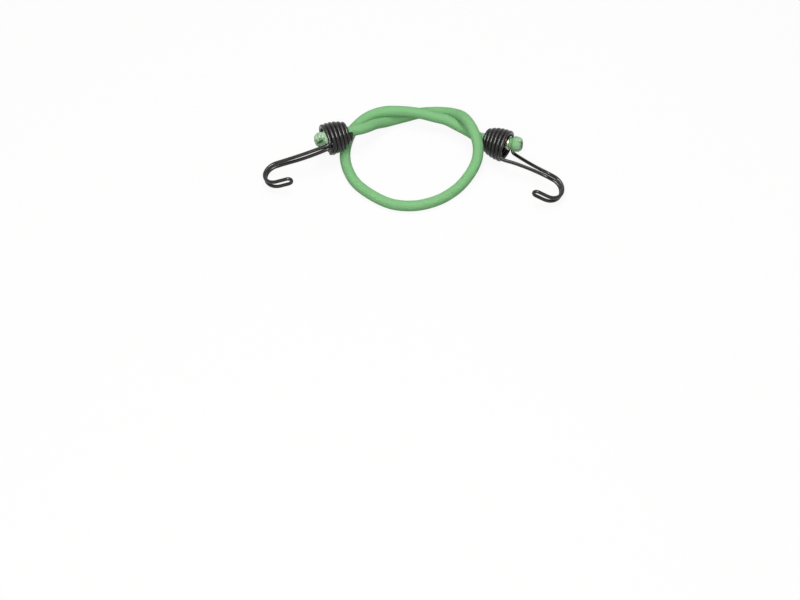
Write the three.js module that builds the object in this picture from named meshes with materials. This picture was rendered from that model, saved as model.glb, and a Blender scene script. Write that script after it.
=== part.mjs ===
// Bungee cord with a loose overhand knot: rubber core strands in a braided sheath, and at
// each end a steel clip and a wire hook whose tail is wound into a coil round the cord.
// Millimetres, +Z up. The cord lies on z = 0 with its two hooks to the left and right.
import * as THREE from 'three';

// Cord
const CORD_DIAMETER = 8;
const SHEATH_WALL = 0.9;
const STRAND_DIAMETER = 1.7;
const STRAND_CLEARANCE = 0.3;
const RING_STRANDS = 6;
const STRAND_RECESS = 2;
const STUB_DIAMETER = 11.7;
const STUB_ROUNDING = 2.6;
const STUB_START = 2;
const STUB_FULL = 4.5;
const CORD_SIDES = 12;
const STRAND_SIDES = 5;
const CORD_STEPS = 60;

// Clip crimped round the cord at the mouth of each coil
const CLIP_THICKNESS = 1.1;
const CLIP_WIDTH = 3;
const CLIP_STAND = 1.2;
const CLIP_SLIT = 1.2;
const CLIP_CLEARANCE = 0.3;
const CLIP_SEAT_GAP = 0.35;
const CLIP_SEGMENTS = 14;

// Hook wire: a coil, two legs, and a hairpin bent into a J
const WIRE_DIAMETER = 2.75;
const WIRE_SIDES = 6;
const COIL_TURNS = 6;
const TURN_GAP = 0.48;
const COIL_RIM_DIAMETER = 25.6;
const COIL_CLEARANCE = 0.8;
const COIL_SWELL = 2.6;
const THROAT_RUN = 5;
const POINTS_PER_TURN = 16;
const KNUCKLE_RADIUS = 2.6;
const KNUCKLE_BULGE = 1.2;
const RING_ARC = 28;
const HOOK_REACH = 41.2;
const SHANK_LENGTH = 6;
const HAIRPIN_SPACING = 5.6;
const BEND_RADIUS = 10.5;
const TIP_LENGTH = 7.5;
const TIP_FLARE = 4;

// Each end. The coil: where its rim stands, its turn towards the front and its dip down towards
// the hook. The cord in it: seat is the side of the rim that the clip lies against, stub is how
// far the cut end stands out of the rim, and lean is how far that end is pushed off the cord's
// line. The hook: swing and fall are the turn and dip of its shank, roll is where the J opens,
// measured from straight up towards the back, and offset is how far the J's bend lies from the
// rim's middle across the shank, towards its opening and across its plane. Legs are where the
// front and back legs leave the rim, measured as roll is, bows how far they bow away from the
// J's opening, and lay is 1 where the front leg's wire is the upper one in the J, else -1.
const LEFT_END = {
  side: -1, rim: [-68.4, 6.6, 17.9], turn: 25, dip: 3.3, seat: -20, stub: 8.3, lean: [1, -1, 1],
  swing: 7.2, fall: 17.1, roll: 269.8, offset: [22.7, 2.5], legs: [299.4, 282.5], bows: [-0.5, -1.1], lay: 1,
};
const RIGHT_END = {
  side: 1, rim: [72.7, 4.1, 13.4], turn: 29, dip: -0.5, seat: 75, stub: 10.6, lean: [0, 0, 0],
  swing: 16.7, fall: 23.6, roll: 265.2, offset: [28.7, 15.3], legs: [261.6, 152.5], bows: [1.1, -0.65], lay: -1,
};

// The cord's route from the left coil to the right one: x, y, and how far the cord's
// underside is lifted off the surface by what it crosses.
const ROUTE = [
  [-41.0, 19.9, 13.3], [-35.9, 23.8, 11.7], [-29.3, 30.8, 8.0], [-21.5, 38.2, 2.7],
  [-13.7, 44.0, 0.3], [-5.1, 48.1, 0], [5.0, 51.7, 0], [14.4, 52.2, 0.6],
  [24.2, 49.5, 3.0], [33.0, 41.9, 8.5], [39.6, 29.9, 15.8], [45.0, 17.1, 18.4],
  [48.6, 7.1, 16.8], [50.2, 0.1, 13.2], [49.7, -6.6, 8.2], [47.0, -13.4, 4.4],
  [41.3, -23.0, 1.4], [32.8, -34.3, 0.2], [18.8, -45.8, 0], [1.3, -51.9, 0],
  [-16.7, -50.1, 0], [-32.2, -40.3, 0], [-44.7, -26.8, 0], [-51.2, -11.3, 0],
  [-53.4, 3.2, 0], [-52.2, 16.7, 0], [-48.2, 30.5, 0.2], [-43.5, 36.9, 1.8],
  [-36.6, 41.5, 4.8], [-29.3, 43.6, 7.4], [-21.5, 44.4, 9.0], [-12.9, 44.4, 9.2],
  [-3.5, 43.8, 9.0], [5.8, 42.3, 8.6], [16.0, 39.6, 7.6], [25.6, 35.7, 7.4],
  [34.0, 29.9, 6.8], [42.0, 24.3, 6.8],
];

const UP = new THREE.Vector3(0, 0, 1);
const CORD_RADIUS = CORD_DIAMETER / 2;
const WIRE_RADIUS = WIRE_DIAMETER / 2;
const TURN_PITCH = WIRE_DIAMETER + TURN_GAP;
const COIL_LENGTH = COIL_TURNS * TURN_PITCH;
const RIM_RADIUS = COIL_RIM_DIAMETER / 2 - WIRE_RADIUS;
const radians = THREE.MathUtils.degToRad;

// A facet's corner lies outside the round it stands for by this factor.
const cornerFactor = (sides) => 1 / Math.cos(Math.PI / sides);
const CORD_CORNER_RADIUS = CORD_RADIUS * cornerFactor(CORD_SIDES);
const CLIP_INNER_RADIUS = (CORD_CORNER_RADIUS + CLIP_CLEARANCE) * cornerFactor(CLIP_SEGMENTS);
const CLIP_OUTER_RADIUS = CLIP_INNER_RADIUS + CLIP_THICKNESS;

// The clip lies against the inside of the coil's rim, so the cord is off the coil's axis there.
const CORD_SHIFT = RIM_RADIUS - WIRE_RADIUS - CLIP_OUTER_RADIUS - CLIP_SEAT_GAP;

// An axis that runs outwards, and the directions across it by their angle from up towards the back.
function axisFrame(side, turn, dip) {
  const level = Math.cos(radians(dip));
  const axis = new THREE.Vector3(
    side * Math.cos(radians(turn)) * level, -Math.sin(radians(turn)) * level, -Math.sin(radians(dip)));
  const up = UP.clone().addScaledVector(axis, -axis.z).normalize();
  const back = new THREE.Vector3().crossVectors(up, axis).multiplyScalar(side);
  const towards = (angle) => up.clone().multiplyScalar(Math.cos(radians(angle)))
    .addScaledVector(back, Math.sin(radians(angle)));
  return { axis, towards };
}

// The frame of one end: around() gives a point at a distance along the coil's axis from the rim,
// a radius and an angle. The cord runs on a line of its own, from the middle of the coil's throat
// to the clip's seat in the rim, and cordAt() gives a point on it by its distance from the rim.
function endFrame({ side, rim, turn, dip, seat, stub, lean, swing, fall, roll, offset, ...hooked }) {
  const { axis, towards } = axisFrame(side, turn, dip);
  const centre = new THREE.Vector3(...rim);
  const along = (distance) => centre.clone().addScaledVector(axis, distance);
  const around = (distance, radius, angle) => along(distance).addScaledVector(towards(angle), radius);
  const throat = along(-COIL_LENGTH);
  const exit = around(0, CORD_SHIFT, seat);
  const cordAxis = exit.clone().sub(throat).normalize();
  const cordAt = (distance) => exit.clone().addScaledVector(cordAxis, distance);
  const cutEnd = cordAt(stub).add(new THREE.Vector3(...lean));
  const hook = axisFrame(side, swing, fall);
  hook.crook = centre.clone().addScaledVector(hook.axis, HOOK_REACH)
    .addScaledVector(hook.towards(roll), offset[0]).addScaledVector(hook.towards(roll + 90), offset[1]);
  return { ...hooked, hook, roll, stub, cutEnd, around, throat, exit, cordAxis, cordAt };
}

// Joins a row of rings, each with as many points, into a solid. A closed row bends back to
// its first ring; an open one gets a flat cap at each end.
function loft(rings, closed) {
  const count = rings[0].length;
  const positions = rings.flat().flatMap((point) => [point.x, point.y, point.z]);
  const index = [];
  const rows = closed ? rings.length : rings.length - 1;
  for (let row = 0; row < rows; row += 1) {
    const here = row * count;
    const next = ((row + 1) % rings.length) * count;
    for (let k = 0; k < count; k += 1) {
      const l = (k + 1) % count;
      index.push(here + k, next + l, here + l, here + k, next + k, next + l);
    }
  }
  if (!closed) {
    const last = (rings.length - 1) * count;
    for (let k = 1; k < count - 1; k += 1) {
      index.push(0, k, k + 1, last, last + k + 1, last + k);
    }
  }
  const geometry = new THREE.BufferGeometry();
  geometry.setAttribute('position', new THREE.Float32BufferAttribute(positions, 3));
  geometry.setIndex(index);
  geometry.computeVertexNormals();
  return geometry;
}

// A ring of points round a station, counter-clockwise as seen from ahead. A section may sit
// off the station's centre.
function ringAt({ point, across, upright }, radius, sides, offset = [0, 0]) {
  const corner = radius * cornerFactor(sides);
  return Array.from({ length: sides }, (_, k) => {
    const angle = ((k + 0.5) / sides) * 2 * Math.PI - Math.PI / 2;
    return point.clone()
      .addScaledVector(across, offset[0] + corner * Math.cos(angle))
      .addScaledVector(upright, offset[1] + corner * Math.sin(angle));
  });
}

// The cord is straight from a little inside the coil's throat to the clip's outer face, and may
// bend beyond it.
function straightEnd({ cutEnd, throat, exit, cordAxis, cordAt }) {
  const before = throat.clone().addScaledVector(cordAxis, -THROAT_RUN);
  return [before, throat, throat.clone().lerp(exit, 0.5), cordAt(-CLIP_WIDTH), exit, cordAt(STUB_START), cutEnd];
}

// The whole cord's centreline: along the left coil's axis, the route, and the right axis.
function cordCurve(left, right) {
  const route = ROUTE.map(([x, y, lift]) => new THREE.Vector3(x, y, lift + CORD_RADIUS));
  return new THREE.CatmullRomCurve3([
    ...straightEnd(left).reverse(), ...route, ...straightEnd(right),
  ]);
}

// Stations along the cord, none under the surface, each upright so that its lowest facet is flat.
// The stubs get closer stations, because the sheath swells and rounds off there.
function cordStations(curve, left, right) {
  const length = curve.getLength();
  const stubDistances = (stub) => [0, 0.3, 0.65, 1].map((share) => share * STUB_ROUNDING)
    .concat([0.55, 0.8, 1].map((share) => share * stub));
  const inner = length - left.stub - right.stub;
  const distances = stubDistances(left.stub);
  for (let step = 1; step < CORD_STEPS; step += 1) {
    distances.push(left.stub + (inner * step) / CORD_STEPS);
  }
  distances.push(...stubDistances(right.stub).map((distance) => length - distance).reverse());
  return distances.map((distance) => {
    const share = distance / length;
    const tangent = curve.getTangentAt(share);
    const across = new THREE.Vector3().crossVectors(tangent, UP).normalize();
    const upright = new THREE.Vector3().crossVectors(across, tangent);
    const near = distance < length / 2 ? left : right;
    const fromEnd = Math.min(distance, length - distance);
    const point = curve.getPointAt(share);
    point.z = Math.max(point.z, CORD_RADIUS);
    return { point, across, upright, fromEnd, stub: near.stub };
  });
}

// Beyond the coil's rim the cord's cut end is spread wider than the cord and rounded off.
function sheathRadius({ fromEnd, stub }) {
  const stubRadius = STUB_DIAMETER / 2;
  if (fromEnd < STUB_ROUNDING) {
    const share = 1 - fromEnd / STUB_ROUNDING;
    return stubRadius - STUB_ROUNDING * 0.62 * (1 - Math.sqrt(1 - share * share));
  }
  const swell = THREE.MathUtils.smoothstep(stub - fromEnd, STUB_START, STUB_FULL);
  return CORD_RADIUS + (stubRadius - CORD_RADIUS) * swell;
}

function sheathGeometry(stations) {
  const bore = CORD_RADIUS - SHEATH_WALL;
  const outer = stations.map((station) => ringAt(station, sheathRadius(station), CORD_SIDES));
  const inner = stations.map((station) => ringAt(station, bore, CORD_SIDES));
  return loft([...outer, ...inner.reverse()], true);
}

function strandGeometry(stations, offset) {
  const inside = stations.filter((station) => station.fromEnd >= STRAND_RECESS);
  const radius = (STRAND_DIAMETER / 2) / cornerFactor(STRAND_SIDES);
  return loft(inside.map((station) => ringAt(station, radius, STRAND_SIDES, offset)), false);
}

// A round clip with a slit where its two ends meet, drawn in a plane and pulled along the axis.
function clipGeometry() {
  const innerHalf = Math.asin(CLIP_SLIT / 2 / CLIP_INNER_RADIUS);
  const outerHalf = Math.asin(CLIP_SLIT / 2 / CLIP_OUTER_RADIUS);
  const outline = new THREE.Shape();
  outline.absarc(0, 0, CLIP_OUTER_RADIUS, outerHalf, 2 * Math.PI - outerHalf, false);
  outline.absarc(0, 0, CLIP_INNER_RADIUS, 2 * Math.PI - innerHalf, innerHalf, true);
  const band = new THREE.ExtrudeGeometry(outline, {
    depth: CLIP_WIDTH, bevelEnabled: false, curveSegments: CLIP_SEGMENTS,
  });
  return band.translate(0, 0, -CLIP_WIDTH / 2);
}

// The coil's turns widen quickly from the throat that grips the cord and slowly towards the rim.
function coilRadius(share) {
  const throat = CORD_CORNER_RADIUS + COIL_CLEARANCE + WIRE_RADIUS;
  return throat + (RIM_RADIUS - throat) * (1 - (1 - share) ** COIL_SWELL);
}

// One leg's run from the coil to the hairpin's tip. Half is 1 for the upper wire of the J and
// -1 for the lower one.
function hookRun(end, legAngle, half, legStart, bow) {
  const { axis, towards, crook } = end.hook;
  const aside = towards(end.roll + half * 90).multiplyScalar(HAIRPIN_SPACING / 2);
  const opening = towards(end.roll);
  const bend = (angle) => crook.clone().add(aside)
    .addScaledVector(axis, BEND_RADIUS * Math.sin(angle))
    .addScaledVector(opening, -BEND_RADIUS * Math.cos(angle));
  const run = [end.around(legStart, RIM_RADIUS + KNUCKLE_BULGE, legAngle)];
  const legEnd = bend(0).addScaledVector(axis, -SHANK_LENGTH);
  for (const share of [0.3, 0.65]) {
    run.push(run[0].clone().lerp(legEnd, share).addScaledVector(opening, -bow * Math.sin(Math.PI * share)));
  }
  run.push(legEnd);
  const arcEnd = Math.PI - radians(TIP_FLARE);
  const arcSteps = 10;
  for (let step = 0; step <= arcSteps; step += 1) {
    run.push(bend((arcEnd * step) / arcSteps));
  }
  const heading = axis.clone().multiplyScalar(Math.cos(arcEnd))
    .addScaledVector(opening, Math.sin(arcEnd));
  run.push(run.at(-1).clone().addScaledVector(heading, TIP_LENGTH / 2));
  run.push(run.at(-1).clone().addScaledVector(heading, TIP_LENGTH / 2));
  return { run, heading, aside };
}

// The hook's wire from its end at the coil's throat to its other end on the rim.
function hookWire(end) {
  const [frontLeg, backLeg] = end.legs;
  const knuckle = THREE.MathUtils.radToDeg(KNUCKLE_RADIUS / RIM_RADIUS);
  const points = [];
  const coilSteps = Math.round(COIL_TURNS * POINTS_PER_TURN);
  for (let step = 0; step <= coilSteps; step += 1) {
    const share = step / coilSteps;
    const angle = frontLeg + knuckle + 360 * COIL_TURNS * (1 - share);
    points.push(end.around(-COIL_LENGTH * (1 - share), coilRadius(share), angle));
  }
  const knuckleSteps = 4;
  for (let step = 1; step < knuckleSteps; step += 1) {
    const turned = (Math.PI / 2) * (step / knuckleSteps);
    points.push(end.around(
      KNUCKLE_RADIUS * (1 - Math.cos(turned)), RIM_RADIUS + KNUCKLE_BULGE * (1 - Math.cos(turned)),
      frontLeg + knuckle * (1 - Math.sin(turned))));
  }
  const front = hookRun(end, frontLeg, end.lay, KNUCKLE_RADIUS, end.bows[0]);
  points.push(...front.run);

  const turnSteps = 6;
  const tip = front.run.at(-1).clone().sub(front.aside);
  for (let step = 1; step < turnSteps; step += 1) {
    const turned = (Math.PI * step) / turnSteps;
    points.push(tip.clone().addScaledVector(front.aside, Math.cos(turned))
      .addScaledVector(front.heading, (HAIRPIN_SPACING / 2) * Math.sin(turned)));
  }

  const ringStart = (TURN_PITCH * (frontLeg - backLeg + 2 * knuckle)) / 360;
  const back = hookRun(end, backLeg, -end.lay, ringStart + KNUCKLE_RADIUS, end.bows[1]);
  points.push(...back.run.reverse());
  for (let step = 1; step < knuckleSteps; step += 1) {
    const turned = (Math.PI / 2) * (step / knuckleSteps);
    points.push(end.around(
      ringStart + KNUCKLE_RADIUS * (1 - Math.sin(turned)), RIM_RADIUS + KNUCKLE_BULGE * (1 - Math.sin(turned)),
      backLeg - knuckle * (1 - Math.cos(turned))));
  }
  const ringSteps = Math.round((POINTS_PER_TURN * RING_ARC) / 360);
  for (let step = 0; step <= ringSteps; step += 1) {
    const swept = (RING_ARC * step) / ringSteps;
    points.push(end.around(ringStart + (TURN_PITCH * swept) / 360, RIM_RADIUS, backLeg - knuckle - swept));
  }
  return points;
}

// A round bar bent along points: each ring is carried on from the last without twisting.
function wireGeometry(points) {
  const rings = [];
  let across = null;
  points.forEach((point, k) => {
    const before = points[Math.max(k - 1, 0)];
    const after = points[Math.min(k + 1, points.length - 1)];
    const tangent = after.clone().sub(before).normalize();
    across ??= new THREE.Vector3().crossVectors(tangent, UP);
    across = across.clone().addScaledVector(tangent, -across.dot(tangent)).normalize();
    const upright = new THREE.Vector3().crossVectors(across, tangent);
    rings.push(ringAt({ point, across, upright }, WIRE_RADIUS / cornerFactor(WIRE_SIDES), WIRE_SIDES));
  });
  return loft(rings, false);
}

// The least gap between stretches of a bar that lie further apart along it than `apart`.
function leastGap(points, diameter, apart) {
  const curve = new THREE.CatmullRomCurve3(points);
  const samples = curve.getSpacedPoints(900);
  const skip = Math.ceil((apart / curve.getLength()) * 900);
  let least = Infinity;
  for (let i = 0; i < samples.length; i += 1) {
    for (let j = i + skip; j < samples.length; j += 1) {
      least = Math.min(least, samples[i].distanceTo(samples[j]));
    }
  }
  return least - diameter;
}

const sheathMaterial = () => new THREE.MeshStandardMaterial({ color: '#7fbf86', roughness: 0.75, metalness: 0 });
const rubberMaterial = () => new THREE.MeshStandardMaterial({ color: '#d9cdb4', roughness: 0.6, metalness: 0 });
const zincMaterial = () => new THREE.MeshStandardMaterial({ color: '#c9ccd0', roughness: 0.3, metalness: 1 });
const coatedWireMaterial = () => new THREE.MeshStandardMaterial({ color: '#1c1c1d', roughness: 0.4, metalness: 0 });

function addPiece(group, name, geometry, material) {
  const mesh = new THREE.Mesh(geometry, material);
  mesh.name = name;
  group.add(mesh);
  return mesh;
}

const bungee = new THREE.Group();
const ends = { left: endFrame(LEFT_END), right: endFrame(RIGHT_END) };
const centreline = cordCurve(ends.left, ends.right);
const stations = cordStations(centreline, ends.left, ends.right);

addPiece(bungee, 'sheath', sheathGeometry(stations), sheathMaterial());
addPiece(bungee, 'core_strand_1', strandGeometry(stations, [0, 0]), rubberMaterial());
const strandSpacing = STRAND_DIAMETER + STRAND_CLEARANCE;
for (let k = 0; k < RING_STRANDS; k += 1) {
  const angle = (2 * Math.PI * k) / RING_STRANDS;
  const offset = [strandSpacing * Math.cos(angle), strandSpacing * Math.sin(angle)];
  addPiece(bungee, `core_strand_${k + 2}`, strandGeometry(stations, offset), rubberMaterial());
}

for (const [side, end] of Object.entries(ends)) {
  const clip = addPiece(bungee, `${side}_clip`, clipGeometry(), zincMaterial());
  clip.quaternion.setFromUnitVectors(UP, end.cordAxis);
  clip.position.copy(end.cordAt(CLIP_STAND - CLIP_WIDTH / 2));
  const wire = hookWire(end);
  addPiece(bungee, `${side}_hook`, wireGeometry(wire), coatedWireMaterial());
  console.log(`${side} hook wire: least gap to itself ${leastGap(wire, WIRE_DIAMETER, 5 * WIRE_DIAMETER).toFixed(2)} mm`);
}
const cordPoints = centreline.getSpacedPoints(200);
console.log(`cord: length ${centreline.getLength().toFixed(1)} mm, least gap to itself `
  + `${leastGap(cordPoints, CORD_DIAMETER, 5 * CORD_DIAMETER).toFixed(2)} mm`);

export default bungee;
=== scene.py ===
"""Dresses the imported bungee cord: braided sheath, rubber core, steel clips and coated wire hooks."""
import math

import bpy
from bpy.props import FloatProperty, FloatVectorProperty, IntProperty, PointerProperty
from bpy.types import Operator, Panel, PropertyGroup
from mathutils import Matrix, Vector


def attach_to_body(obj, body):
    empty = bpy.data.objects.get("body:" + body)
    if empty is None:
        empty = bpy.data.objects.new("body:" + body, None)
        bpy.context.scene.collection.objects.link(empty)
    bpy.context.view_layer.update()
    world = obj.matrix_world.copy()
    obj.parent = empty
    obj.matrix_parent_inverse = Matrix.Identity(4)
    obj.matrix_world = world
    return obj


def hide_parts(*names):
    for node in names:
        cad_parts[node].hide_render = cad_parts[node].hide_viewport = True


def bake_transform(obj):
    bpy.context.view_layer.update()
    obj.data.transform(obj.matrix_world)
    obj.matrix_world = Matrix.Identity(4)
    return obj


bl_info = {
    "name": "Bungee cord",
    "version": (1, 0, 0),
    "blender": (4, 5, 0),
    "location": "3D View > Sidebar > Bungee",
    "description": "Makes a knotted elastic cord with a wire hook at each end",
    "category": "Object",
}

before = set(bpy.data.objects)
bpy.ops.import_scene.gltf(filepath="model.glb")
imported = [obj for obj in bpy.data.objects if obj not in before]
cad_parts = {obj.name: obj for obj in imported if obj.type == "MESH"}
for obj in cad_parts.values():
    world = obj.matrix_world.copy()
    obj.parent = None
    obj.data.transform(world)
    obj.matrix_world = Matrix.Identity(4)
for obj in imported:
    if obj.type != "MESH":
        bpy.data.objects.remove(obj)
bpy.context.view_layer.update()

MM = 0.001
UP = Vector((0, 0, 1))

# The least length that is divided by.
TINY = 1e-9

# A yarn's section, for the sheath's mesh and for its material: how square its edges are, how far it
# dives under the next yarn, and how late.
YARN_EDGE, YARN_DIVE, YARN_LATE = 2.4, 0.35, 3.0


def linear(code):
    """An sRGB hex colour as linear red, green and blue."""
    values = [int(code[k:k + 2], 16) / 255 for k in (1, 3, 5)]
    return tuple(v / 12.92 if v <= 0.04045 else ((v + 0.055) / 1.055) ** 2.4 for v in values)


# The two ends, in millimetres and degrees, close to the CAD model's.
# The coil: where its rim stands, its turn to the front and its dip.
# The cord in it: its seat in the rim, how far the clip and the cut end stand out of the rim, how wide
# the cut end spreads, how far its colour is made paler, partly for the heat seal on its yarns and partly
# as painted light that brightens it, how far it leans, and the way of the slit in which it closes.
# The hook: the turn and dip of its shank, where the J opens, how far its bend lies off the shank's
# direction, towards the opening and across the J's plane, where its front and back legs leave the
# rim, how far they bow away from the opening, 1 where the front leg's wire is the upper one in the J,
# else -1, and how far apart the legs enter the J, as a share of their distance at its tip.
END_PLACES = {
    "left": {
        "side": -1, "rim": (-68.4, 6.6, 17.9), "turn": 25.0, "dip": 3.3,
        "seat": -20.0, "stand": 1.2, "stub": 8.3, "spread": 13.8, "pale": 1.0,
        "lean": (2.6, -2.3, 0.5), "slit": (0.9, 0.42, 0.42),
        "swing": 7.2, "fall": 17.1, "roll": 269.8, "offset": (22.7, 2.5),
        "legs": (298.2, 284.0), "bows": (-0.5, -1.1), "lay": 1, "pinch": 0.68,
    },
    "right": {
        "side": 1, "rim": (72.7, 4.1, 13.4), "turn": 29.0, "dip": -0.5,
        "seat": 75.0, "stand": 0.7, "stub": 10.6, "spread": 12.0, "pale": 0.6,
        "lean": (0.0, 0.0, 0.0), "slit": (0.9, -0.3, -0.3),
        "swing": 16.7, "fall": 23.6, "roll": 265.2, "offset": (28.7, 15.3),
        "legs": (261.6, 152.5), "bows": (1.1, -0.65), "lay": -1, "pinch": 0.82,
    },
}

# The cord's route from the left coil to the right one: x, y and the lift of its underside.
ROUTE = [tuple(value * MM for value in point) for point in (
    (-41.0, 19.9, 13.3), (-35.9, 23.8, 11.7), (-29.6, 31.4, 7.8), (-21.7, 39.2, 2.5),
    (-13.8, 44.6, 0.2), (-5.1, 48.1, 0), (5.0, 51.7, 0), (14.4, 52.2, 0.6),
    (24.2, 49.5, 3.0), (33.0, 41.9, 8.5), (39.6, 29.9, 15.8), (45.0, 17.1, 18.4),
    (48.6, 7.1, 16.8), (50.2, 0.1, 13.2), (49.7, -6.6, 8.2), (47.0, -13.4, 4.4),
    (41.3, -23.0, 1.4), (32.8, -34.3, 0.2), (18.8, -45.8, 0), (1.3, -51.9, 0),
    (-16.7, -50.1, 0), (-32.2, -40.3, 0), (-44.7, -26.8, 0), (-51.2, -11.3, 0),
    (-53.4, 3.2, 0), (-52.2, 16.7, 0), (-48.2, 30.5, 0.2), (-43.5, 36.9, 1.8),
    (-36.6, 41.5, 4.8), (-29.3, 43.6, 7.4), (-21.5, 44.4, 9.0), (-12.9, 44.4, 9.2),
    (-3.5, 43.8, 9.0), (5.8, 42.3, 8.6), (16.0, 39.6, 7.6), (25.6, 36.3, 7.4),
    (34.0, 30.8, 6.8), (42.0, 24.8, 6.8),
)]

# Each end stretch of the cord is a piece of its own, from its cut end to a point near the middle
# of the knot.
END_CUTS = {"left": (-13.7 * MM, 44.0 * MM, 4.3 * MM), "right": (1.3 * MM, 42.9 * MM, 12.8 * MM)}


class SheathSettings(PropertyGroup):
    """Sizes and colours of the braided sheath."""
    diameter: FloatProperty(
        name="Diameter", description="Thickness of the cord", default=8.3 * MM, unit="LENGTH")
    lift: FloatProperty(
        name="Lift", description="Height of the cord's middle off the floor", default=4 * MM, unit="LENGTH")
    stub_rounding: FloatProperty(
        name="Cut end rounding", description="Length over which the cut end rounds off",
        default=4.2 * MM, unit="LENGTH")
    crease: FloatProperty(
        name="Crease", description="Depth of the folds in the cut end", default=1.2 * MM, unit="LENGTH")
    carriers: IntProperty(
        name="Yarns each way", description="Yarns that wind round the cord each way", default=16)
    relief: FloatProperty(
        name="Relief", description="Height of a yarn over the gap beside it",
        default=0.2 * MM, unit="LENGTH")
    # The braid's colour runs from the gap colour, painted shade between the yarns, to the yarn colour on
    # their crowns.
    yarn: FloatVectorProperty(
        name="Yarn", description="Colour on the crown of a yarn",
        subtype="COLOR", default=linear("#8fcc8d"))
    gap: FloatVectorProperty(
        name="Gap", description="Colour between the yarns", subtype="COLOR", default=linear("#5b9961"))
    # The cut end's paler colour: partly the heat seal on the yarns, partly painted light that brightens the
    # cut ends.
    sealed_and_lit: FloatVectorProperty(
        name="Sealed end", description="Colour of the heat sealed yarns",
        subtype="COLOR", default=linear("#dfeed8"))


class CoreSettings(PropertyGroup):
    """Sizes and colours of the rubber strands inside the sheath."""
    strand: FloatProperty(
        name="Strand", description="Thickness of a rubber strand", default=1.7 * MM, unit="LENGTH")
    spacing: FloatProperty(
        name="Spacing", description="From one strand's middle to the next", default=2 * MM, unit="LENGTH")
    recess: FloatProperty(
        name="Recess", description="How far the strands end inside the cut end",
        default=3.6 * MM, unit="LENGTH")
    rubber: FloatVectorProperty(
        name="Rubber", description="Colour of the rubber", subtype="COLOR", default=linear("#d9cdb4"))


class ClipSettings(PropertyGroup):
    """Sizes and colours of the steel clips."""
    inner_diameter: FloatProperty(
        name="Bore", description="Inside of the clip", default=9.11 * MM, unit="LENGTH")
    thickness: FloatProperty(
        name="Thickness", description="Thickness of the strip", default=1.1 * MM, unit="LENGTH")
    width: FloatProperty(name="Width", description="Length along the cord", default=3 * MM, unit="LENGTH")
    slit: FloatProperty(
        name="Slit", description="Gap between the strip's ends", default=1.2 * MM, unit="LENGTH")
    zinc: FloatVectorProperty(
        name="Zinc", description="Colour of the plating", subtype="COLOR", default=linear("#aaa599"))


class HookSettings(PropertyGroup):
    """Sizes and colours of the wire hooks."""
    wire: FloatProperty(
        name="Wire", description="Thickness of the coated wire", default=2.8 * MM, unit="LENGTH")
    wound: FloatProperty(
        name="Wound wire", description="Thickness in the coil, where the coating swells",
        default=3.16 * MM, unit="LENGTH")
    pitch: FloatProperty(
        name="Pitch", description="From one turn of the coil to the next", default=3.23 * MM, unit="LENGTH")
    turns: IntProperty(name="Turns", description="Turns of the coil", default=6)
    throat: FloatProperty(
        name="Throat", description="Middle of the wire round the cord", default=12.63 * MM, unit="LENGTH")
    rim: FloatProperty(
        name="Rim", description="Middle of the wire at the rim", default=22.85 * MM, unit="LENGTH")
    shift: FloatProperty(
        name="Shift", description="Cord's distance from the coil's axis at the rim",
        default=4.045 * MM, unit="LENGTH")
    reach: FloatProperty(
        name="Reach", description="From the rim to the J's bend", default=41.2 * MM, unit="LENGTH")
    coating: FloatVectorProperty(
        name="Coating", description="Colour of the coating", subtype="COLOR", default=linear("#1c1a19"))


class StageSettings(PropertyGroup):
    """Camera, lamps and floor."""
    elevation: FloatProperty(
        name="Elevation", description="Camera above the horizon", default=math.radians(45),
        subtype="ANGLE", unit="ROTATION")
    lens: FloatProperty(name="Lens", description="Focal length of the camera", default=400, unit="CAMERA")
    pixel: FloatProperty(
        name="Pixel", description="Size of a picture point at the cord", default=0.78 * MM, unit="LENGTH")
    top: FloatProperty(
        name="Top lamp", description="Power of the long lamp overhead", default=6.5, unit="POWER")
    lamp: FloatProperty(
        name="Lamp", description="Power of the broad lamp by the camera", default=8, unit="POWER")
    streak: FloatProperty(
        name="Streak lamp", description="Power of the lamp that only shows in glosses",
        default=20, unit="POWER")
    fill: FloatProperty(name="Fill", description="Strength of the even light all round", default=0.3)
    floor: FloatVectorProperty(
        name="Floor", description="Colour of the floor", subtype="COLOR", default=linear("#f4f4f2"))
    flag: FloatVectorProperty(
        name="Flag", description="Colour of the floor as it lights the object",
        subtype="COLOR", default=linear("#8c8c8a"))


class BungeeSettings(PropertyGroup):
    """All settings of the part."""
    sheath: PointerProperty(type=SheathSettings)
    core: PointerProperty(type=CoreSettings)
    clip: PointerProperty(type=ClipSettings)
    hook: PointerProperty(type=HookSettings)
    stage: PointerProperty(type=StageSettings)


def add_node(tree, kind, inputs=None, **settings):
    """Adds a node, sets its properties, and sets or links its inputs."""
    made = tree.nodes.new(kind)
    for name, value in settings.items():
        setattr(made, name, value)
    for key, value in (inputs or {}).items():
        if isinstance(value, bpy.types.NodeSocket):
            tree.links.new(value, made.inputs[key])
        else:
            made.inputs[key].default_value = value
    return made


def new_material(name, **sockets):
    """A material with only a Principled shader, whose sockets are set."""
    material = bpy.data.materials.new(name)
    material.use_nodes = True
    shader = material.node_tree.nodes["Principled BSDF"]
    for socket, value in sockets.items():
        shader.inputs[socket.replace("_", " ")].default_value = value
    return material, material.node_tree, shader


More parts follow.
